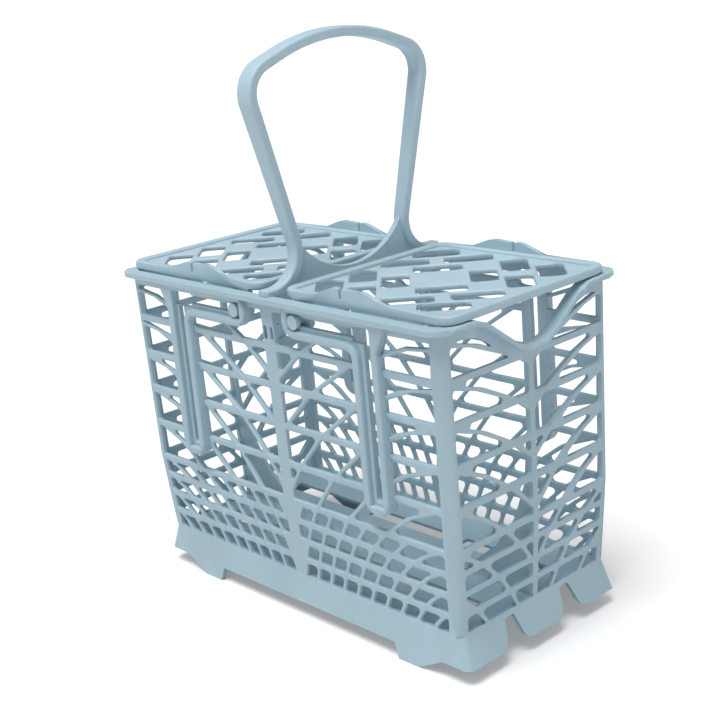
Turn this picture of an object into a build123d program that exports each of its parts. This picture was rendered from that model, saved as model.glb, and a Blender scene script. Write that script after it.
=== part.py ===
from build123d import *
from math import asin, atan2, ceil, cos, degrees, hypot, radians, sin, sqrt, tan
import os

os.makedirs("parts", exist_ok=True)

# Rim flange of the basket
rim_length = 213.0
rim_width = 113.0
rim_corner_radius = 9.0
rim_corner_spans = 5
rim_thickness = 2.2
rim_underside = 151.0
rim_overhang = 4.0

# Finger scoop in the rim at each end
scoop_depth = 18.0
scoop_top_half_width = 32.0
scoop_bottom_half_width = 7.5
scoop_blend_radius = 20.0
scoop_spans = 3
scoop_strip = 5.0

# Walls
wall_thickness = 2.2
wall_corner_cut = 4.4
upper_draft = 1.0
lower_draft = 4.5
corner_post_width = 5.6
centre_post_width = 7.5
end_middle_rib_width = 3.0
rim_strip = 4.0

# Lattice of level bars and curved ribs
skirt_top = 21.0
knee_height = 60.0
bar_pitch = 18.0
bar_height = 2.9
lower_rows = 4
rib_width = 1.7
rib_step = 16.65
rib_span_turn = 15.0
long_rib_radius = 169.4
long_rib_beyond_corner = 16.5
long_rib_centre_height = -5.8
end_rib_radius = 166.7
end_rib_beyond_corner = 33.2
end_rib_centre_height = -16.0
smallest_window = 14.0

# Tracks for the lid pins
pin_from_middle = 20.0
pin_height = 145.0
track_leg_from_middle = 62.3
track_leg_bottom = 75.4
track_width = 15.0
track_recess_width = 7.4
track_recess_depth = 2.5
track_slot_width = 3.6
track_proud = 2.5
track_corner_spans = 4
track_bend_radius = 3.0
track_open_corner = 12.0
shoulder_width = 4.0
shoulder_drop = 12.0
shoulder_spread = 6.0

# Skirt and feet
skirt_edge_height = 7.0
skirt_end_flare = 8.1
skirt_side_flare = 1.4
skirt_corner_cut = 2.3
foot_step = 59.5
foot_start = 62.0
foot_end = 74.0
foot_slope_end = 88.0
notch_top = 19.0
notch_top_start = 15.8
notch_top_end = 20.2
notch_bottom_start = 12.2
notch_bottom_end = 24.5
lobe_radius = 5.0
lobe_spans = 3

# Floor, drain slots and inner fins
floor_top = 20.6
floor_thickness = 1.5
drain_rows = 2
drain_columns = 3
drain_length = 50.0
drain_width = 8.0
drain_pitch_along = 60.0
drain_pitch_across = 44.0
fin_thickness = 2.2
fin_top = 92.0
fin_reach = 52.0
fin_hollow = 11.0
fin_ledge = 1.6
fin_spans = 5

# Guides and slits that hold the handle tongues
guide_thickness = 2.0
guide_top = 134.0
guide_bottom = 112.0
guide_depth = 7.0
slit_height = 6.0
slit_width = 1.8
slit_spacing = 4.2
slit_middle = 137.0
snap_clearance = 0.2

# Handle
web_thickness = 3.0
web_bottom = 146.0
tongue_width = 6.0
tongue_bottom = 114.0
barb_height = 4.0
barb_reach = 1.4
pad_thickness = 2.0
band_thickness = 4.6
band_width_top = 9.0
band_width_foot = 6.4
leg_slant = 15.2
handle_corner_from_middle = 52.6
handle_corner_height = 245.2
handle_apex_height = 264.6
handle_corner_radius = 13.0
handle_crown_radius = 95.0
handle_straight_run = 0.5
handle_foot_reach = 53.4
handle_foot_lift = 0.4
foot_flare_radius = 16.0
saddle_end_height = 178.0
saddle_bottom = 156.5

# Lids
lid_inner_edge = 7.5
lid_outer_edge = 105.0
lid_thickness = 2.4
lid_gap = 0.3
lid_side_clearance = 0.9
lid_corner_radius = 7.0
lid_corner_spans = 3
lid_frame_width = 4.4
lid_frame_height = 3.6
hump_middle = 50.0
hump_foot_half_width = 25.0
hump_top_half_width = 9.0
hump_height = 8.0
hump_thickness = 2.2
hump_blend_radius = 14.0
hump_slit_width = 1.6
hump_slit_depth = 5.0
hump_slit_shift = 4.5
cell_middle = 54.0
cell_group_along = 23.5
cell_group_across = 23.0
cell_pitch = 20.0
cell_turn = 45.0
cell_long = 21.6
cell_short = 11.8
lug_thickness = 2.8
lug_radius = 5.0
lug_corner_cut = 3.0
pin_sides = 10
pin_diameter = 3.4
pin_head_diameter = 6.4
pin_head_clearance = 0.3

overlap = 0.5
through = 30.0
rim_top = rim_underside + rim_thickness
lower_pitch = (knee_height - skirt_top) / lower_rows
lid_base = rim_top + lid_gap


def rounded_outline(corners, spans):
    """Closed outline; each corner has a radius and is rounded by a few straight spans."""
    places = [Vector(along, up) for along, up, radius in corners]
    points = []
    for index, here in enumerate(places):
        radius = corners[index][2]
        if radius == 0:
            points.append(here)
            continue
        before = (places[index - 1] - here).normalized()
        after = (places[(index + 1) % len(places)] - here).normalized()
        half_angle = before.get_angle(after) / 2
        centre = here + (before + after).normalized() * (radius / sin(radians(half_angle)))
        first = here + before * (radius / tan(radians(half_angle))) - centre
        side = 1 if before.cross(after).Z < 0 else -1
        turn = side * (180 - 2 * half_angle)
        points += [centre + first.rotate(Axis.Z, turn * step / spans) for step in range(spans + 1)]
    return Polygon(*[(point.X, point.Y) for point in points], align=None)


def rounded_rectangle(start, end, half_width, radius, spans):
    """Rectangle from start to end along the basket, with rounded corners."""
    corners = [
        (start, -half_width, radius),
        (end, -half_width, radius),
        (end, half_width, radius),
        (start, half_width, radius),
    ]
    return rounded_outline(corners, spans)


def wall_half(rim_size, height):
    """Half the outside size of the drafted wall at a height."""
    upper_drop = rim_underside - max(height, knee_height)
    lower_drop = max(knee_height - height, 0)
    draft = upper_drop * tan(radians(upper_draft)) + lower_drop * tan(radians(lower_draft))
    return rim_size / 2 - rim_overhang - draft


def wall_section(height, inset):
    """Outline of the wall at a height, moved inwards by the inset and facing down."""
    length = 2 * (wall_half(rim_length, height) - inset)
    width = 2 * (wall_half(rim_width, height) - inset)
    drawn_in = wall_half(rim_length, rim_underside) - wall_half(rim_length, height) + inset
    corner_cut = wall_corner_cut - drawn_in * (2 - sqrt(2))
    outline = chamfer(Rectangle(length, width).vertices(), corner_cut)
    return Plane((0, 0, height), z_dir=(0, 0, -1)) * outline


def wall_block(inset):
    """Solid inside the walls' outer or inner faces, with the knee between its two drafts."""
    heights = [skirt_top, knee_height, rim_underside]
    corner_size = (rim_length + rim_width - 4 * rim_overhang - 2 * wall_corner_cut) / sqrt(2)
    corner_size += 2 * rim_overhang
    views = []
    for size, turn in ((rim_length, 0), (rim_width, 90), (corner_size, 45), (corner_size, -45)):
        right = [(wall_half(size, height) - inset, height) for height in heights]
        left = [(-along, height) for along, height in reversed(right)]
        face = Plane.XZ * Polygon(*right, *left, align=None)
        views.append(Rot(0, 0, turn) * extrude(face, rim_length, both=True))
    return views[0] & views[1] & views[2] & views[3]


def below_wave(shift):
    """Face of everything under the rim line, which has the finger scoop in its middle."""
    high = rim_underside + shift
    low = high - scoop_depth
    reach = rim_width / 2 + overlap
    corners = [
        (-reach, skirt_top, 0),
        (reach, skirt_top, 0),
        (reach, high, 0),
        (scoop_top_half_width, high, scoop_blend_radius),
        (scoop_bottom_half_width, low, scoop_blend_radius),
        (-scoop_bottom_half_width, low, scoop_blend_radius),
        (-scoop_top_half_width, high, scoop_blend_radius),
        (-reach, high, 0),
    ]
    return rounded_outline(corners, scoop_spans)


def rib_side(centre, radius, levels):
    """Points of one side of a curved rib where it crosses the levels, with more where it turns fast."""
    centre_along, centre_height = centre
    points = []
    last_turn = None
    for level in levels:
        rise = min((level - centre_height) / radius, 1)
        turn = degrees(asin(rise))
        start = turn if last_turn is None else last_turn
        spans = max(ceil((turn - start) / rib_span_turn), 1)
        for span in range(1, spans + 1):
            angle = radians(start + (turn - start) * span / spans)
            points.append((centre_along - radius * cos(angle), centre_height + radius * sin(angle)))
        last_turn = turn
        if rise == 1:
            break
    return points


def curved_rib(centre, radius, levels):
    """Curved rib as straight spans from level to level, with its two sides on two circles."""
    outer = rib_side(centre, radius + rib_width / 2, levels)
    inner = rib_side(centre, radius - rib_width / 2, levels)
    return Polygon(*outer, *reversed(inner), align=None)


def level_bars(reach):
    """Level bars of the lattice over half a wall."""
    upper_count = int((rim_underside - knee_height) / bar_pitch)
    tops = [knee_height + bar_pitch * step for step in range(upper_count)]
    tops += [skirt_top + lower_pitch * step for step in range(1, lower_rows)]
    return [Pos(reach / 2, top - bar_height / 2) * Rectangle(reach, bar_height) for top in tops]


def lattice_windows(rim_size, post, centre, first_radius, half_ribs, kept):
    """Openings between the bars and ribs of half a wall."""
    post_edge = post / 2
    heights = [skirt_top, knee_height, rim_underside]
    corner_edge = [(wall_half(rim_size, height) - corner_post_width, height) for height in heights]
    panel = Polygon((post_edge, skirt_top), *corner_edge, (post_edge, rim_underside), align=None)
    lower_levels = [skirt_top + lower_pitch * step - bar_height / 2 for step in range(lower_rows + 1)]
    upper_levels = list(lower_levels)
    while upper_levels[-1] < rim_top:
        upper_levels.append(upper_levels[-1] + bar_pitch)
    solid = level_bars(rim_size / 2) + kept
    radius = first_radius
    while radius > 2 * rib_step:
        solid.append(curved_rib(centre, radius, upper_levels))
        if half_ribs:
            solid.append(curved_rib(centre, radius - rib_step / 2, lower_levels))
        radius -= rib_step
    openings = panel - solid
    return Sketch() + [face for face in openings.faces() if face.area > smallest_window]


def track_outline(width, end_radius, bend_radius):
    """Outline of the bent track on the right half of a long wall, at a width."""
    half = width / 2
    corners = [
        (pin_from_middle - half, pin_height - half, end_radius),
        (track_leg_from_middle - half, pin_height - half, bend_radius),
        (track_leg_from_middle - half, track_leg_bottom - half, end_radius),
        (track_leg_from_middle + half, track_leg_bottom - half, end_radius),
        (track_leg_from_middle + half, pin_height + half, 0),
        (pin_from_middle - half, pin_height + half, end_radius),
    ]
    return rounded_outline(corners, track_corner_spans)


def track_plate():
    """Outline of the whole raised track."""
    return track_outline(track_width, track_width / 2 - overlap, track_bend_radius)


def track_recess():
    """Outline of the recess for the pin heads, which keeps an even border round the bend."""
    border = (track_width - track_recess_width) / 2
    return track_outline(track_recess_width, 0, track_bend_radius + border)


def track_corner():
    """Opening where the level run of the track turns into its leg."""
    right = track_leg_from_middle + track_recess_width / 2
    middle = (right - track_open_corner / 2, pin_height)
    return Pos(*middle) * Rectangle(track_open_corner, track_recess_width)


def track_shoulder():
    """Outer bar of the track where it spreads into the rim."""
    outer = track_leg_from_middle + track_width / 2
    foot = rim_underside - shoulder_drop
    return Polygon(
        (outer - shoulder_width, foot),
        (outer, foot),
        (outer + shoulder_spread, rim_top - overlap),
        (outer - shoulder_width, rim_top - overlap),
        align=None,
    )


def both_ways(shape):
    """A shape together with its mirror image on the other half of the basket."""
    return shape + mirror(shape, Plane.YZ)


def long_wall_windows():
    """Cutting prisms of the front long wall."""
    centre = (wall_half(rim_length, rim_underside) + long_rib_beyond_corner, long_rib_centre_height)
    strip = Pos(rim_length / 4, rim_underside) * Rectangle(rim_length / 2, 2 * rim_strip)
    kept = [track_plate(), track_shoulder(), strip]
    half = lattice_windows(rim_length, centre_post_width, centre, long_rib_radius, True, kept)
    start = wall_half(rim_width, skirt_top) - wall_thickness - overlap
    return both_ways(extrude(Plane.XZ.offset(start) * half, through))


def end_wall_windows():
    """Cutting prisms of the right end wall."""
    centre = (wall_half(rim_width, rim_underside) + end_rib_beyond_corner, end_rib_centre_height)
    above = Pos(0, rim_underside) * Rectangle(rim_width, 2 * scoop_depth + 2 * scoop_strip)
    strip = above - below_wave(-scoop_strip)
    half = lattice_windows(rim_width, end_middle_rib_width, centre, end_rib_radius, False, [strip])
    start = wall_half(rim_length, skirt_top) - wall_thickness - overlap
    prisms = extrude(Plane.YZ.offset(start) * half, through)
    return prisms + mirror(prisms, Plane.XZ)


def lattice_walls():
    """Four drafted walls with the scoops and all the openings cut."""
    shell = wall_block(0) - wall_block(wall_thickness)
    walls = shell & extrude(Plane.YZ * below_wave(0), rim_length, both=True)
    long_cut = long_wall_windows()
    end_cut = end_wall_windows()
    walls -= long_cut
    walls -= mirror(long_cut, Plane.XZ)
    walls -= end_cut
    walls -= mirror(end_cut, Plane.YZ)
    return walls


def rim_flange():
    """Rim flange that follows the scoops at both ends."""
    inside = extrude(wall_section(rim_underside, wall_thickness), rim_underside, both=True)
    half_length = rim_length / 2
    half_width = rim_width / 2
    outline = rounded_rectangle(-half_length, half_length, half_width, rim_corner_radius, rim_corner_spans)
    block = extrude(outline, rim_top + overlap)
    sheet = below_wave(rim_thickness) - below_wave(0)
    return (block - inside) & extrude(Plane.YZ * sheet, rim_length, both=True)


def skirt():
    """Flared skirt with lobes at the ends and feet on the long sides."""

    def flared_block(inset):
        half_length = wall_half(rim_length, skirt_top) - inset
        half_width = wall_half(rim_width, skirt_top) - inset
        along = Polygon(
            (-half_length, skirt_top),
            (half_length, skirt_top),
            (half_length + skirt_end_flare, 0),
            (-half_length - skirt_end_flare, 0),
            align=None,
        )
        across = Polygon(
            (-half_width, skirt_top),
            (half_width, skirt_top),
            (half_width + skirt_side_flare, 0),
            (-half_width - skirt_side_flare, 0),
            align=None,
        )
        side_view = extrude(Plane.XZ * along, rim_width, both=True)
        return side_view & extrude(Plane.YZ * across, rim_length, both=True)

    outside = flared_block(0)
    corners = outside.edges().filter_by(lambda edge: edge.bounding_box().size.Z > overlap)
    corners = [edge for edge in corners if edge.length < 2 * skirt_top]
    shell = chamfer(corners, skirt_corner_cut) - flared_block(wall_thickness)
    side_edge = Polygon(
        (0, -overlap),
        (0, skirt_edge_height),
        (foot_step, skirt_edge_height),
        (foot_start, 0),
        (foot_end, 0),
        (foot_slope_end, skirt_edge_height),
        (rim_length, skirt_edge_height),
        (rim_length, -overlap),
        align=None,
    )
    shell -= both_ways(extrude(Plane.XZ * side_edge, rim_width, both=True))
    middle_lobe = [
        (notch_bottom_start, skirt_edge_height, lobe_radius),
        (notch_top_start, skirt_top, 0),
        (-notch_top_start, skirt_top, 0),
        (-notch_bottom_start, skirt_edge_height, lobe_radius),
    ]
    corner_lobe = [
        (rim_width, skirt_edge_height, 0),
        (rim_width, skirt_top, 0),
        (notch_top_end, skirt_top, 0),
        (notch_bottom_end, skirt_edge_height, lobe_radius),
    ]
    lobes = [rounded_outline(lobe, lobe_spans) for lobe in (middle_lobe, corner_lobe)]
    below = Polygon((0, 0), (rim_width / 2, 0), (rim_width / 2, notch_top), (0, notch_top), align=None)
    notch = extrude(Plane.YZ.offset(foot_slope_end) * (below - lobes), through)
    notches = notch + mirror(notch, Plane.XZ)
    return shell - both_ways(notches)


def basket_floor():
    """Floor plate with its drain slots."""
    slots = GridLocations(drain_pitch_along, drain_pitch_across, drain_columns, drain_rows)
    drains = [Pos(0, 0, floor_top) * place * Rectangle(drain_length, drain_width) for place in slots]
    return extrude(wall_section(floor_top, overlap) - drains, floor_thickness)


def end_fins():
    """Curved fins that stand on the floor inside the end walls."""
    foot = floor_top - floor_thickness / 2
    heights = [foot, knee_height, fin_top]
    in_wall = [(wall_half(rim_length, height) - wall_thickness / 2, height) for height in heights]
    tip = wall_half(rim_length, fin_top) - wall_thickness - fin_ledge
    reach = wall_half(rim_length, skirt_top) - fin_reach
    hollow = ((tip + reach) / 2 + fin_hollow, (fin_top + foot) / 2 - fin_hollow)
    curve = ThreePointArc((tip, fin_top), hollow, (reach, foot))
    front = [curve @ (step / fin_spans) for step in range(fin_spans + 1)]
    outline = Polygon(*[(point.X, point.Y) for point in front], *in_wall, align=None)
    return both_ways(extrude(Plane.XZ * outline, fin_thickness / 2, both=True))


def pin_tracks():
    """Raised track plates on the outside of the front wall, before they are slotted."""
    face = wall_half(rim_width, rim_underside) + track_proud
    back = wall_half(rim_width, track_leg_bottom) - overlap
    outline = track_plate() + track_shoulder()
    return both_ways(extrude(Plane.XZ.offset(back) * outline, face - back))


def track_cuts():
    """Recess, slot and open corner of the front tracks."""
    face = wall_half(rim_width, rim_underside) + track_proud
    recess = extrude(Plane.XZ.offset(face - track_recess_depth) * track_recess(), through)
    slot_start = wall_half(rim_width, skirt_top) - wall_thickness - overlap
    slot = extrude(Plane.XZ.offset(slot_start) * track_outline(track_slot_width, 0, 0), through)
    corner = extrude(Plane.XZ.offset(slot_start) * track_corner(), face - slot_start + overlap)
    return both_ways(recess + slot + corner)


def tongue_guides():
    """Pairs of ribs behind the front centre post that hold the handle tongue."""
    inside_top = wall_half(rim_width, guide_top) - wall_thickness / 2
    inside_bottom = wall_half(rim_width, guide_bottom) - wall_thickness / 2
    start = web_thickness / 2 + snap_clearance
    profile = Polygon(
        (-inside_bottom, guide_bottom),
        (-inside_bottom + guide_depth, guide_bottom + guide_depth),
        (-inside_bottom + guide_depth, guide_top),
        (-inside_top, guide_top),
        align=None,
    )
    return both_ways(extrude(Plane.YZ.offset(start) * profile, guide_thickness))


def snap_slits():
    """Slits in the front centre post for the barbs of the handle."""
    wall = wall_half(rim_width, slit_middle)
    slit = Pos(slit_spacing / 2, -wall, slit_middle) * Box(slit_width, through, slit_height)
    return both_ways(slit)


def make_basket():
    """The basket as one moulding."""
    front = pin_tracks() + tongue_guides()
    body = lattice_walls() + rim_flange() + skirt() + basket_floor() + end_fins()
    body += front + mirror(front, Plane.XZ)
    cuts = track_cuts() + snap_slits()
    body -= cuts
    body -= mirror(cuts, Plane.XZ)
    return body


def leg_line(height):
    """Distance of a handle leg's middle line from the middle of the basket at a height."""
    return handle_corner_from_middle - (handle_corner_height - height) * tan(radians(leg_slant))


def crown_radius():
    """Radius of the crown, limited by the runs that rise from the corners to the apex."""
    rise = handle_apex_height - handle_corner_height
    corner_turn = radians(90 + leg_slant) - atan2(rise, handle_corner_from_middle)
    run = hypot(handle_corner_from_middle, rise) - handle_corner_radius * tan(corner_turn / 2)
    steepness = abs(rise) / handle_corner_from_middle
    return min(handle_crown_radius, (run - handle_straight_run) / steepness)


def handle_bow():
    """Band of the handle from foot to foot, wider over the crown than at the feet."""
    foot_height = rim_top + handle_foot_lift
    right_side = [
        (handle_foot_reach, foot_height),
        (leg_line(foot_height), foot_height),
        (handle_corner_from_middle, handle_corner_height),
    ]
    left_side = [(-along, height) for along, height in reversed(right_side)]
    bends = [foot_flare_radius, handle_corner_radius]
    radii = [*bends, crown_radius(), *reversed(bends)]
    path = FilletPolyline(*right_side, (0, handle_apex_height), *left_side, radius=radii)
    band = extrude(Plane.YZ * trace(path, band_thickness), band_width_top / 2, both=True)
    wide = band_width_top / 2
    narrow = band_width_foot / 2
    taper = Polygon(
        (-narrow, rim_top),
        (narrow, rim_top),
        (wide, handle_corner_height - handle_corner_radius),
        (wide, handle_apex_height + band_thickness),
        (-wide, handle_apex_height + band_thickness),
        (-wide, handle_corner_height - handle_corner_radius),
        align=None,
    )
    return band & extrude(Plane.XZ * taper, rim_width, both=True)


def handle_web():
    """Web under the bow with the saddle curve, and the tongues that go into the basket."""
    foot_height = rim_top + handle_foot_lift
    saddle_end = (leg_line(saddle_end_height), saddle_end_height)
    saddle = ThreePointArc(saddle_end, (0, saddle_bottom), (-saddle_end[0], saddle_end_height))
    foot = (handle_foot_reach - overlap, foot_height)
    bend = (leg_line(foot_height), foot_height)
    flare = FilletPolyline(foot, bend, saddle_end, radius=foot_flare_radius)
    tongue_outer = wall_half(rim_width, tongue_bottom) - wall_thickness - snap_clearance
    tongue_inner = tongue_outer - tongue_width
    lower_edge = Polyline(
        foot,
        (handle_foot_reach - overlap, rim_top),
        (tongue_outer, rim_top),
        (tongue_outer, tongue_bottom),
        (tongue_inner, tongue_bottom),
        (tongue_inner, web_bottom),
        (0, web_bottom),
    )
    half_edge = [flare, lower_edge]
    edges = [saddle, *half_edge, *[mirror(edge, Plane.YZ) for edge in half_edge]]
    plate = extrude(Plane.YZ * make_face(edges), web_thickness / 2, both=True)
    barbs = snap_barbs(tongue_outer)
    return plate + barbs + mirror(barbs, Plane.XZ)


def snap_barbs(tongue_outer):
    """Pad on a tongue with the two barbs that catch in the slits of the centre post."""
    barb_width = slit_width - 2 * snap_clearance
    pad_size = (slit_spacing + barb_width, pad_thickness, slit_height)
    pad = Pos(0, tongue_outer, slit_middle) * Box(*pad_size, align=(Align.CENTER, Align.MAX, Align.CENTER))
    profile = Polygon(
        (tongue_outer, slit_middle - barb_height / 2),
        (tongue_outer + barb_reach, slit_middle + barb_height / 2),
        (tongue_outer, slit_middle + barb_height / 2),
        align=None,
    )
    barb = Pos(slit_spacing / 2, 0) * extrude(Plane.YZ * profile, barb_width / 2, both=True)
    return pad + both_ways(barb)


def make_handle():
    """The carrying handle as one moulding."""
    return handle_bow() + handle_web()


def lid_half_width():
    """Half the width of a lid, which lies between the long walls."""
    return wall_half(rim_width, rim_underside) - wall_thickness - lid_side_clearance


def lid_outline(inset):
    """Outline of the right lid, moved inwards by the inset."""
    start = lid_inner_edge + inset
    end = lid_outer_edge - inset
    radius = lid_corner_radius - inset
    return rounded_rectangle(start, end, lid_half_width() - inset, radius, lid_corner_spans)


def lid_cells():
    """Woven pattern of slanting openings, turned the other way in every second quarter."""
    cells = []
    for along in (-1, 1):
        for across in (-1, 1):
            quarter = Pos(cell_middle + along * cell_group_along, across * cell_group_across)
            cell = Rot(0, 0, -along * across * cell_turn) * Rectangle(cell_long, cell_short)
            cells += [quarter * place * cell for place in GridLocations(cell_pitch, cell_pitch, 2, 2)]
    return cells


def lid_hump(slit_shift):
    """Bell-shaped rise on a long edge of the lid, with a slit beside its middle."""
    high = lid_base + hump_height
    low = lid_base + lid_thickness
    left = hump_middle - hump_foot_half_width
    right = hump_middle + hump_foot_half_width
    line = FilletPolyline(
        (left, low),
        (hump_middle - hump_top_half_width, high),
        (hump_middle + hump_top_half_width, high),
        (right, low),
        radius=hump_blend_radius,
    )
    face = make_face([line, Polyline((right, low), (right, lid_base), (left, lid_base), (left, low))])
    return face - Pos(hump_middle + slit_shift, high) * Rectangle(hump_slit_width, 2 * hump_slit_depth)


def lid_hinge():
    """Lug, neck and head of the front pin of the right lid."""
    half_width = lid_half_width()
    lug_rise = lid_base + lid_thickness / 2 - pin_height + lug_radius
    lug = Rectangle(2 * lug_radius, lug_rise, align=(Align.CENTER, Align.MIN))
    lug = chamfer(lug.vertices().group_by(Axis.Y)[0], lug_corner_cut)
    lug = Pos(pin_from_middle, pin_height - lug_radius) * lug
    hinge = extrude(Plane.XZ.offset(half_width - lug_thickness) * lug, lug_thickness)
    head_end = wall_half(rim_width, rim_underside) + track_proud
    head_start = head_end - track_recess_depth + pin_head_clearance
    pin = Pos(pin_from_middle, pin_height) * RegularPolygon(pin_diameter / 2, pin_sides)
    hinge += extrude(Plane.XZ.offset(half_width - overlap) * pin, head_start - half_width + 2 * overlap)
    head = Pos(pin_from_middle, pin_height) * RegularPolygon(pin_head_diameter / 2, pin_sides)
    return hinge + extrude(Plane.XZ.offset(head_start) * head, head_end - head_start)


def make_right_lid():
    """The right lid with its frame, humps, lugs and pins."""
    half_width = lid_half_width()
    lid = extrude(Plane.XY.offset(lid_base) * (lid_outline(0) - lid_cells()), lid_thickness)
    frame = lid_outline(0) - lid_outline(lid_frame_width)
    lid += extrude(Plane.XY.offset(lid_base) * frame, lid_frame_height)
    front_hump = Plane.XZ.offset(half_width - hump_thickness) * lid_hump(-hump_slit_shift)
    back_hump = Plane.XZ.offset(-half_width) * lid_hump(hump_slit_shift)
    lid += extrude(front_hump, hump_thickness) + extrude(back_hump, hump_thickness)
    hinge = lid_hinge()
    return lid + hinge + mirror(hinge, Plane.XZ)


basket = make_basket()
handle = make_handle()
lid_right = make_right_lid()
lid_left = Rot(0, 0, 180) * lid_right

export_step(basket, "parts/basket.step")
export_step(handle, "parts/handle.step")
export_step(lid_right, "parts/lid_right.step")
export_step(lid_left, "parts/lid_left.step")
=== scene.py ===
# %% [markdown]
# # A dishwasher cutlery basket
#
# The object is a lidded basket moulded in pale blue-grey plastic: a lattice box on a flared
# skirt, a bow handle snapped over its middle, and lids that turn on pins in bent tracks.
# The solids are already exact, so this lesson is about what a moulding really looks like:
# edges that are never quite sharp, a satin skin, and soft studio light.

from math import cos, radians, sin, tan

import bmesh
import bpy
from mathutils import Matrix, Quaternion, Vector


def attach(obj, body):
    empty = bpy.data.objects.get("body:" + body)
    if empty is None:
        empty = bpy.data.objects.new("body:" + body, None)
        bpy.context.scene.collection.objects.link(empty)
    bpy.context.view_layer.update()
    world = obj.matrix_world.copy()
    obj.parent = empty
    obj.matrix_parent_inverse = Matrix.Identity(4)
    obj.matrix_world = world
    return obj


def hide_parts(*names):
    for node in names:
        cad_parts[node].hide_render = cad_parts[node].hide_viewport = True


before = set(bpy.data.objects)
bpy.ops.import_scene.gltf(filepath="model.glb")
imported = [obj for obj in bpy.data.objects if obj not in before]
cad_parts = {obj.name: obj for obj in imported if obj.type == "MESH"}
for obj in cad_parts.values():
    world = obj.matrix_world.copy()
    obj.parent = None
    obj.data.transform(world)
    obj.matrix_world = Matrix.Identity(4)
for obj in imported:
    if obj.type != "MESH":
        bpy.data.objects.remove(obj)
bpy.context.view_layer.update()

# %% [markdown]
# ## Sums with sockets
#
# A procedural finish is mostly arithmetic on numbers that vary over the surface. Writing that
# arithmetic as Python keeps it readable, so one small class wraps a socket and turns plus, minus
# and times into Math nodes. Its `add` method makes each node from a type, the settings that come
# first, the output that is wanted, and the values or links of its sockets.


# %% A socket that can be used in sums
class Field:
    """A number, colour or vector that varies over a surface, held as a shader socket."""

    def __init__(self, tree, socket=None):
        self.tree = tree
        self.socket = socket

    def add(self, kind, settings, output, sockets):
        node = self.tree.nodes.new(kind)
        for name, value in settings.items():
            setattr(node, name, value)
        for name, value in sockets.items():
            self.feed(node.inputs[name], value)
        return Field(self.tree, node.outputs[output])

    def feed(self, socket, value):
        if isinstance(value, Field):
            self.tree.links.new(value.socket, socket)
        else:
            socket.default_value = value

    def math(self, operation, first, second):
        return self.add("ShaderNodeMath", {"operation": operation}, 0, {0: first, 1: second})

    def __add__(self, other):
        return self.math("ADD", self, other)

    def __radd__(self, other):
        return self.math("ADD", other, self)

    def __sub__(self, other):
        return self.math("SUBTRACT", self, other)

    def __rsub__(self, other):
        return self.math("SUBTRACT", other, self)

    def __mul__(self, other):
        return self.math("MULTIPLY", self, other)

    def __rmul__(self, other):
        return self.math("MULTIPLY", other, self)


# %% [markdown]
# ## The plastic
#
# The real part is polypropylene with a satin skin. Three things show in it: a slow drift of tone
# where the melt cooled unevenly, faint streaks along the flow, and a fine spark-eroded grain that
# breaks up the highlight. Each is a noise texture of its own size, in object coordinates so that
# it stays put when a lid turns.

# %% Drift, streaks and grain
drift_scale = 18.0
streak_across = 70.0
streak_along = 9.0
streak_scale = 4.0
grain_scale = 2600.0


def noise(field, place, scale, detail):
    sockets = {"Vector": place, "Scale": scale, "Detail": detail}
    return field.add("ShaderNodeTexNoise", {}, "Fac", sockets)


def marks(field, streak_axis):
    """The drift, the streaks along an axis, and the grain."""
    place = field.add("ShaderNodeTexCoord", {}, "Object", {})
    stretch = [streak_across, streak_across, streak_across]
    stretch[streak_axis] = streak_along
    along = field.add("ShaderNodeMapping", {}, "Vector", {"Vector": place, "Scale": stretch})
    drift = noise(field, place, drift_scale, detail=3.0)
    streak = noise(field, along, streak_scale, detail=4.0)
    grain = noise(field, place, grain_scale, detail=2.0)
    return drift, streak, grain


# %% [markdown]
# The drift goes mostly to the base colour, between a deep and a pale tone, the streaks to the
# roughness, and the grain to a shallow bump. A little scatter under the skin keeps thin bars from
# looking painted. The handle and the lids are given a little paler tone than the basket, so each
# gets a tone of its own.

# %% Plastic material
pale_tone = 1.06
deep_tone = 0.93
drift_share = 0.7
blend_low = 0.3
blend_gain = 2.5
satin = 0.36
streak_gloss = 0.12
grain_gloss = 0.06
grain_share = 0.8
mix_factor = 0
mix_first = 6
mix_second = 7
mix_colour = 2


def plastic(name, tone, streak_axis):
    material = bpy.data.materials.new(name)
    material.use_nodes = True
    tree = material.node_tree
    shader = tree.nodes["Principled BSDF"]
    field = Field(tree)
    drift, streak, grain = marks(field, streak_axis)
    pale = (*[channel * pale_tone for channel in tone], 1.0)
    deep = (*[channel * deep_tone for channel in tone], 1.0)
    blend = drift * drift_share + streak * (1 - drift_share)
    share = (blend - blend_low) * blend_gain
    mixing = {"data_type": "RGBA", "clamp_factor": True}
    ends = {mix_factor: share, mix_first: deep, mix_second: pale}
    colour = field.add("ShaderNodeMix", mixing, mix_colour, ends)
    rough = satin + streak * streak_gloss + grain * grain_gloss
    height = grain * grain_share + streak * (1 - grain_share)
    relief = {"Strength": 0.25, "Distance": 0.00006, "Height": height}
    bump = field.add("ShaderNodeBump", {}, "Normal", relief)
    field.feed(shader.inputs["Base Color"], colour)
    field.feed(shader.inputs["Roughness"], rough)
    field.feed(shader.inputs["Normal"], bump)
    shader.inputs["IOR"].default_value = 1.49
    shader.inputs["Subsurface Weight"].default_value = 0.06
    shader.inputs["Subsurface Radius"].default_value = (0.6, 0.8, 1.0)
    shader.inputs["Subsurface Scale"].default_value = 0.0015
    print(name, "made with", len(tree.nodes), "nodes")
    return material


x_axis = 0
y_axis = 1
z_axis = 2
basket_plastic = plastic("basket_plastic", (0.395, 0.545, 0.625), z_axis)
handle_plastic = plastic("handle_plastic", (0.455, 0.620, 0.708), z_axis)
lid_plastic = plastic("lid_plastic", (0.425, 0.580, 0.664), x_axis)

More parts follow.
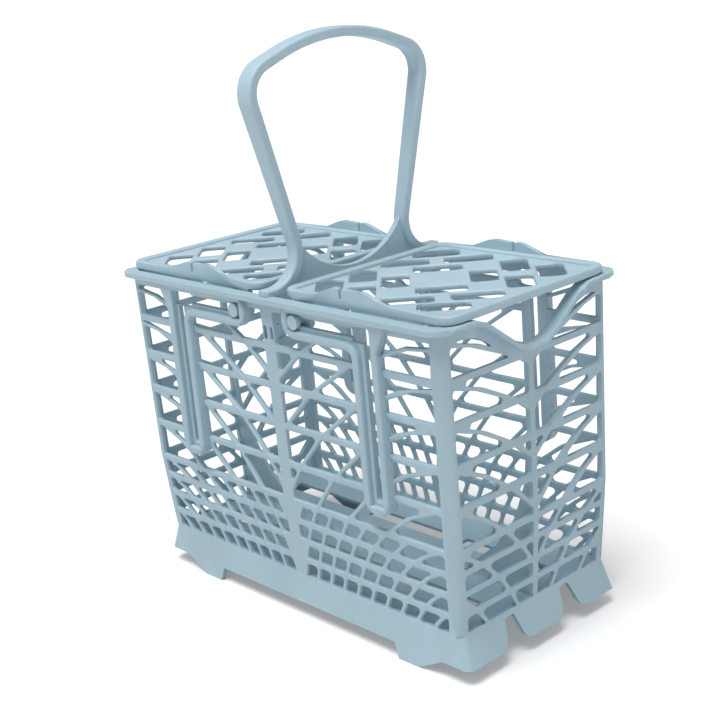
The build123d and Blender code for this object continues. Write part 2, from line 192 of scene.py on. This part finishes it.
# %% [markdown]
# ## Copies of the solids
#
# A cutter never leaves a square inside corner in a mould, and the steel's own edges are broken, so
# on the real part every window has rounded corners and every bar a soft lip that catches the
# light. The solids are square there, so each CAD mesh is copied, welded and merged back into flat
# faces, and the copy is worked on.

# %% Copies of the solids
weld_distance = 0.000002
flat_turn = 1.0


def copied(node):
    """A welded copy of a CAD mesh with its flat faces merged."""
    shape = bmesh.new()
    shape.from_mesh(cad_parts[node].data)
    bmesh.ops.remove_doubles(shape, verts=shape.verts, dist=weld_distance)
    bmesh.ops.dissolve_limit(
        shape, angle_limit=radians(flat_turn), verts=shape.verts, edges=shape.edges,
    )
    print(node, "copied with", len(shape.faces), "flat faces")
    return shape


def sharp(edge, least):
    """Whether two faces meet at an edge by more than an angle in degrees."""
    return edge.is_manifold and edge.calc_face_angle() > radians(least)


def middle(edge):
    return (edge.verts[0].co + edge.verts[1].co) / 2


# %% [markdown]
# ## Rounded window corners
#
# The corners to round are short edges through a wall, with the wall's two faces folding away from
# them at both ends. The room that a corner has is a share of its shortest side, so that the
# corners of a small window can't meet.

# %% Inside corners of windows
through_wall = 0.99
corner_turn = 20
lip_angle = 0.3
room_share = 0.42


def arms(edge, vert):
    """The two edges at one end of a corner that lie in the corner's own faces."""
    return [
        next(arm for arm in vert.link_edges if arm is not edge and face in arm.link_faces)
        for face in edge.link_faces
    ]


def inside_corners(shape, axis, longest):
    """Inside corners of openings through a wall, with the room each has along its sides."""
    found = []
    for edge in shape.edges:
        run = edge.verts[1].co - edge.verts[0].co
        if run.length > longest or abs(run[axis]) < through_wall * run.length:
            continue
        if not sharp(edge, corner_turn):
            continue
        sides = arms(edge, edge.verts[0]) + arms(edge, edge.verts[1])
        turns = [side.calc_face_angle_signed(0) if side.is_manifold else 0 for side in sides]
        if edge.calc_face_angle_signed() < 0 and min(turns) > lip_angle:
            found.append((edge, room_share * min(side.calc_length() for side in sides)))
    return found


# %% [markdown]
# A bevel would slide the corners of a window along the seams between its flat faces, so each
# corner is filled one by one instead, with a small curved strip as wide as its sides allow. The old
# corner stays behind the strip as a point of the flat face, a tip, and its way out of the window
# is kept for the lip that follows.

# %% Filled corners
corner_spans = 4
bluntest = 0.25


def fill_corner(shape, edge, radius, room):
    """Round one inside corner with a curved strip; returns its tips and their ways out."""
    faces = list(edge.link_faces)
    rows = []
    tips = {}
    for vert in edge.verts:
        sides = arms(edge, vert)
        ways = [(side.other_vert(vert).co - vert.co).normalized() for side in sides]
        inward = (ways[0] + ways[1]).normalized()
        half = ways[0].angle(ways[1]) / 2
        back = min(radius / tan(half), room)
        centre = vert.co + inward * back / cos(half)
        cuts = [bmesh.utils.edge_split(s, vert, back / s.calc_length())[1] for s in sides]
        start, end = (cut.co - centre for cut in cuts)
        turn = start.rotation_difference(end)
        parts = [Quaternion().slerp(turn, k / corner_spans) for k in range(1, corner_spans)]
        curve = [shape.verts.new(centre + part @ start) for part in parts]
        rows.append([cuts[0], *curve, cuts[1]])
        tips[vert] = -inward / max(sin(half), bluntest)
    for face, end in zip(faces, (0, -1)):
        piece, _ = bmesh.utils.face_split(face, rows[0][end], rows[1][end])
        corner = piece if edge in piece.edges else face
        shape.faces.remove(corner)
    for k in range(corner_spans):
        shape.faces.new([rows[0][k], rows[0][k + 1], rows[1][k + 1], rows[1][k]])
    for row, vert in zip(rows, edge.verts):
        shape.faces.new([*row, vert])
    shape.edges.remove(edge)
    return tips


def round_windows(shape, axis, radius, longest):
    """Round the inside corners of all openings along an axis."""
    tips = {}
    for edge, room in inside_corners(shape, axis, longest):
        tips.update(fill_corner(shape, edge, radius, room))
    bmesh.ops.recalc_face_normals(shape, faces=shape.faces)
    return tips


# %% [markdown]
# ## Soft lips
#
# The outline of a window is where a flat face meets the sides of the opening. Flat faces are cut
# into triangles first, so that each one bends only where it has to.

# %% Outlines of windows
side_tilt = 0.1
flat_tilt = 0.98
outline_turn = 60


def outline_edges(shape, axis):
    """Convex edges between a flat face across an axis and the sides that run along it."""
    across = [face for face in shape.faces if abs(face.normal[axis]) > side_tilt]
    bmesh.ops.triangulate(shape, faces=across, quad_method="BEAUTY", ngon_method="BEAUTY")
    shape.normal_update()
    found = []
    for edge in shape.edges:
        if edge.is_manifold and edge.calc_face_angle_signed() > radians(outline_turn):
            tilts = sorted(abs(face.normal[axis]) for face in edge.link_faces)
            if tilts[0] < side_tilt and tilts[1] > flat_tilt:
                found.append(edge)
    return found


# %% [markdown]
# A lip is cut along an outline in two moves that leave the seams of the flat face alone. A ring of
# cuts goes into the sides, just behind the outline. Then the outline is spread over the flat face,
# away from the opening, and the tips run ahead of it. Where there is no room, a flat triangle
# turns over: its points go back, and the lip fades out there.

# %% Lips on outlines
watched_tilt = 0.9
tip_lead = 1.1


def move_points(shape, axis, moves):
    """Move points over flat faces, put back those that turn a face over, and count the rest."""
    shape.normal_update()
    flats = [face for face in shape.faces if abs(face.normal[axis]) > watched_tilt]
    before = {face: face.normal.copy() for face in flats}
    for vert, move in moves.items():
        vert.co += move
    stuck = True
    while stuck:
        shape.normal_update()
        over = [face for face, normal in before.items() if face.normal.dot(normal) < 0]
        stuck = {vert for face in over for vert in face.verts if vert in moves}
        for vert in stuck:
            vert.co -= moves.pop(vert)
    return len(moves)


def soften(shape, edges, axis, width, tips):
    """Turn outline edges into lips, and give back how many points moved."""
    flats = {edge: max(edge.link_faces, key=lambda face: abs(face.normal[axis])) for edge in edges}
    moves = {vert: way * width * tip_lead for vert, way in tips.items()}
    rings = {}
    for vert in dict.fromkeys(vert for edge in edges for vert in edge.verts):
        outline = [edge for edge in vert.link_edges if edge in flats]
        sides = [face for edge in outline for face in edge.link_faces if face is not flats[edge]]
        depths = [edge for edge in vert.link_edges if all(side in edge.link_faces for side in sides)]
        if len(outline) == 2 and sides[0] is not sides[1] and depths:
            first, second = (side.normal for side in sides)
            spread = -(first + second) * width / (1 + first.dot(second))
            level = flats[outline[0]].normal + flats[outline[1]].normal
            spread[axis] = 0
            spread[axis] = -spread.dot(level) / level[axis]
            moves[vert] = spread
            rings[vert] = depths[0]
    for vert, depth in rings.items():
        rings[vert] = bmesh.utils.edge_split(depth, vert, width / depth.calc_length())[1]
    for edge in edges:
        ends = [rings.get(vert, vert) for vert in edge.verts]
        if set(ends) != set(edge.verts):
            side = next(face for face in edge.link_faces if face is not flats[edge])
            bmesh.utils.face_split(side, *ends)
    return move_points(shape, axis, moves)


# %% [markdown]
# ## Finished copies
#
# A finished copy rides on the same body as its solid and stands for it. Its faces are shaded
# smooth except across the edges that are still sharp, and a weighted-normal modifier keeps the
# broad faces flat while the narrow lips take the bend.

# %% Put a finished copy in place of its solid
crease_turn = 50


def stand_in(node, body, shape, material):
    bmesh.ops.recalc_face_normals(shape, faces=shape.faces)
    for face in shape.faces:
        face.smooth = True
    for edge in shape.edges:
        edge.smooth = not sharp(edge, crease_turn)
    mesh = bpy.data.meshes.new(node + "_moulding")
    shape.to_mesh(mesh)
    shape.free()
    piece = bpy.data.objects.new(node + "_moulding", mesh)
    bpy.context.scene.collection.objects.link(piece)
    flatten = piece.modifiers.new("flat faces stay flat", "WEIGHTED_NORMAL")
    flatten.keep_sharp = True
    mesh.materials.append(material)
    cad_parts[node].data.materials.clear()
    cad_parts[node].data.materials.append(material)
    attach(piece, body)
    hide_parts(node)
    print(node, "has", len(mesh.polygons), "faces")


# %% [markdown]
# ## Basket
#
# The lattice is what the eye goes to. Its windows first get rounded corners, then their outlines
# get small lips. The border of a pin track is a rounded bead on the real part, and it stands
# further out than the walls, so that is how its edges are picked out for a wider lip. Edges
# below the seam with the floor are left alone.

# %% Where the basket's edges lie
wall_lip = 0.00035
wall_face = 0.0528
rim_underside = 0.151
floor_seam = 0.0213


def on_bead(point):
    """Whether a point lies on the front of a pin track, below the rim."""
    return abs(point.y) > wall_face and point.z < rim_underside - wall_lip


def on_wall(point):
    """Whether a point lies on a wall, above the seam with the floor."""
    return abs(point.y) < wall_face and point.z > floor_seam


# %% [markdown]
# The long walls are done first, bead and bars apart, then the end walls, and last the flat of the
# rim. Edges longer than a wall is thick are not corners of its windows.

# %% Basket
window_radius = 0.0014
bead_lip = 0.0008
rim_lip = 0.0007
thickest_wall = 0.005

basket = copied("basket")
side_tips = round_windows(basket, y_axis, window_radius, thickest_wall)
end_tips = round_windows(basket, x_axis, window_radius, thickest_wall)
lattice = outline_edges(basket, y_axis)
beads = [edge for edge in lattice if on_bead(middle(edge))]
bars = [edge for edge in lattice if on_wall(middle(edge))]
bead_tips = {vert: way for vert, way in side_tips.items() if on_bead(vert.co)}
bar_tips = {vert: way for vert, way in side_tips.items() if on_wall(vert.co)}
lips = soften(basket, beads, y_axis, bead_lip, bead_tips)
lips += soften(basket, bars, y_axis, wall_lip, bar_tips)
ends = outline_edges(basket, x_axis)
lips += soften(basket, ends, x_axis, wall_lip, end_tips)
level = outline_edges(basket, z_axis)
rim = [edge for edge in level if middle(edge).z > rim_underside - wall_lip]
lips += soften(basket, rim, z_axis, rim_lip, {})
print(len(side_tips) + len(end_tips), "corners and", lips, "points on lips")
stand_in("basket", "basket", basket, basket_plastic)

# %% [markdown]
# ## Handle
#
# The band of the handle is nearly oval in section, because it is made to be gripped. Its edges
# stand alone, so an ordinary bevel does: a wide one on the long edges of the band, above the feet,
# and a small one on the thin web and the tongues.

# %% Handle
edge_turn = 32
web_half = 0.0026
above_feet = 0.1534
band_lip = 0.0013
web_lip = 0.0003


def turning_edges(shape):
    return [edge for edge in shape.edges if sharp(edge, edge_turn)]


def bevelled(shape, edges, width, segments):
    """Bevel some edges of a mesh with a round profile."""
    bmesh.ops.bevel(
        shape, geom=edges, offset=width, offset_type="OFFSET", affect="EDGES",
        segments=segments, profile=0.5, material=-1, clamp_overlap=False, loop_slide=False,
    )


handle = copied("handle")
band_edges = [edge for edge in turning_edges(handle) if abs(middle(edge).x) > web_half]
long_edges = [edge for edge in band_edges if middle(edge).z > above_feet]
bevelled(handle, long_edges, band_lip, segments=3)
web_edges = [edge for edge in turning_edges(handle) if abs(middle(edge).x) < web_half]
bevelled(handle, web_edges, web_lip, segments=2)
print(len(long_edges), "edges of the band and", len(web_edges), "of the web")
stand_in("handle", "basket", handle, handle_plastic)

# %% [markdown]
# ## Lids
#
# A lid is a woven-looking grid in a raised frame. Its openings have well rounded corners, and the
# frame and the grid's strands are softened on both sides.

# %% Lids
strand_corner = 0.0026
strand_lip = 0.0006
thickest_strand = 0.004


def finished_lid(node, body):
    lid = copied(node)
    tips = round_windows(lid, z_axis, strand_corner, thickest_strand)
    lips = soften(lid, outline_edges(lid, z_axis), z_axis, strand_lip, tips)
    print(node, "has", len(tips), "corners and", lips, "points on lips")
    stand_in(node, body, lid, lid_plastic)


finished_lid("lid_right", "right_lid")
finished_lid("lid_left", "left_lid")

# %% [markdown]
# ## Floor
#
# The photograph is a plain product shot on white. A pale floor bounces light up under the lids. It
# glows slightly for the camera alone, so it reads as white and still keeps the basket's shadow,
# and it lies a hair below the feet so that the two never share a plane.

# %% Floor
floor_size = 30.0
floor_drop = 0.0002
floor_shade = (0.80, 0.80, 0.80, 1.0)
floor_glow = 0.22


def floor_paper():
    material = bpy.data.materials.new("floor_paper")
    material.use_nodes = True
    tree = material.node_tree
    tree.nodes.remove(tree.nodes["Principled BSDF"])
    field = Field(tree)
    seen = field.add("ShaderNodeLightPath", {}, "Is Camera Ray", {})
    paper = field.add("ShaderNodeBsdfDiffuse", {}, "BSDF", {"Color": floor_shade})
    glow = field.add("ShaderNodeEmission", {}, "Emission", {"Strength": seen * floor_glow})
    both = field.add("ShaderNodeAddShader", {}, "Shader", {0: paper, 1: glow})
    field.feed(tree.nodes["Material Output"].inputs["Surface"], both)
    return material


square = bmesh.new()
bmesh.ops.create_grid(square, x_segments=1, y_segments=1, size=floor_size)
floor_mesh = bpy.data.meshes.new("floor")
square.to_mesh(floor_mesh)
square.free()
floor_mesh.materials.append(floor_paper())
floor = bpy.data.objects.new("floor", floor_mesh)
floor.location.z = -floor_drop
bpy.context.scene.collection.objects.link(floor)
print("floor with", len(floor_mesh.polygons), "face")

# %% [markdown]
# ## Light
#
# A broad soft lamp high in front lights the top and the near long side, and an even white sky
# fills the rest. The lamp is a sun with a wide angle, so its light is the same at every piece.

# %% Sky and lamp
sky_strength = 0.34
lamp_strength = 2.65
lamp_width = 32
towards_lamp = Vector((0.06, -0.29, 0.95))

world = bpy.data.worlds.new("white sky")
bpy.context.scene.world = world
world.use_nodes = True
sky = world.node_tree.nodes["Background"]
sky.inputs["Color"].default_value = (1.0, 1.0, 1.0, 1.0)
sky.inputs["Strength"].default_value = sky_strength
lamp_data = bpy.data.lights.new("soft lamp", "SUN")
lamp_data.energy = lamp_strength
lamp_data.angle = radians(lamp_width)
lamp = bpy.data.objects.new("soft lamp", lamp_data)
lamp.rotation_mode = "QUATERNION"
lamp.rotation_quaternion = towards_lamp.to_track_quat("Z", "Y")
bpy.context.scene.collection.objects.link(lamp)
bpy.context.scene.view_settings.view_transform = "Standard"
print("lamp of", lamp_strength, "under a sky of", sky_strength)

# %% [markdown]
# ## Camera
#
# The viewpoint was found by fitting straight rim, skirt and bar lines to the photograph: a long
# lens, a little above the rim, looking at the corner between the long side and the right end.

# %% Camera
camera_data = bpy.data.cameras.new("camera")
camera_data.sensor_width = 36.0
camera_data.lens = 68.6
camera_data.clip_end = 100.0
camera = bpy.data.objects.new("camera", camera_data)
viewpoint = Vector((0.4496, -0.4037, 0.2943))
right = Vector((0.68395, 0.72459, -0.08475))
up = Vector((-0.15663, 0.25932, 0.95300))
back = Vector((0.71252, -0.63853, 0.29085))
turn = Matrix((right, up, back)).transposed().to_4x4()
camera.matrix_world = Matrix.Translation(viewpoint) @ turn
bpy.context.scene.collection.objects.link(camera)
bpy.context.scene.camera = camera
print("camera", round(viewpoint.length, 3), "m from the middle of the feet")
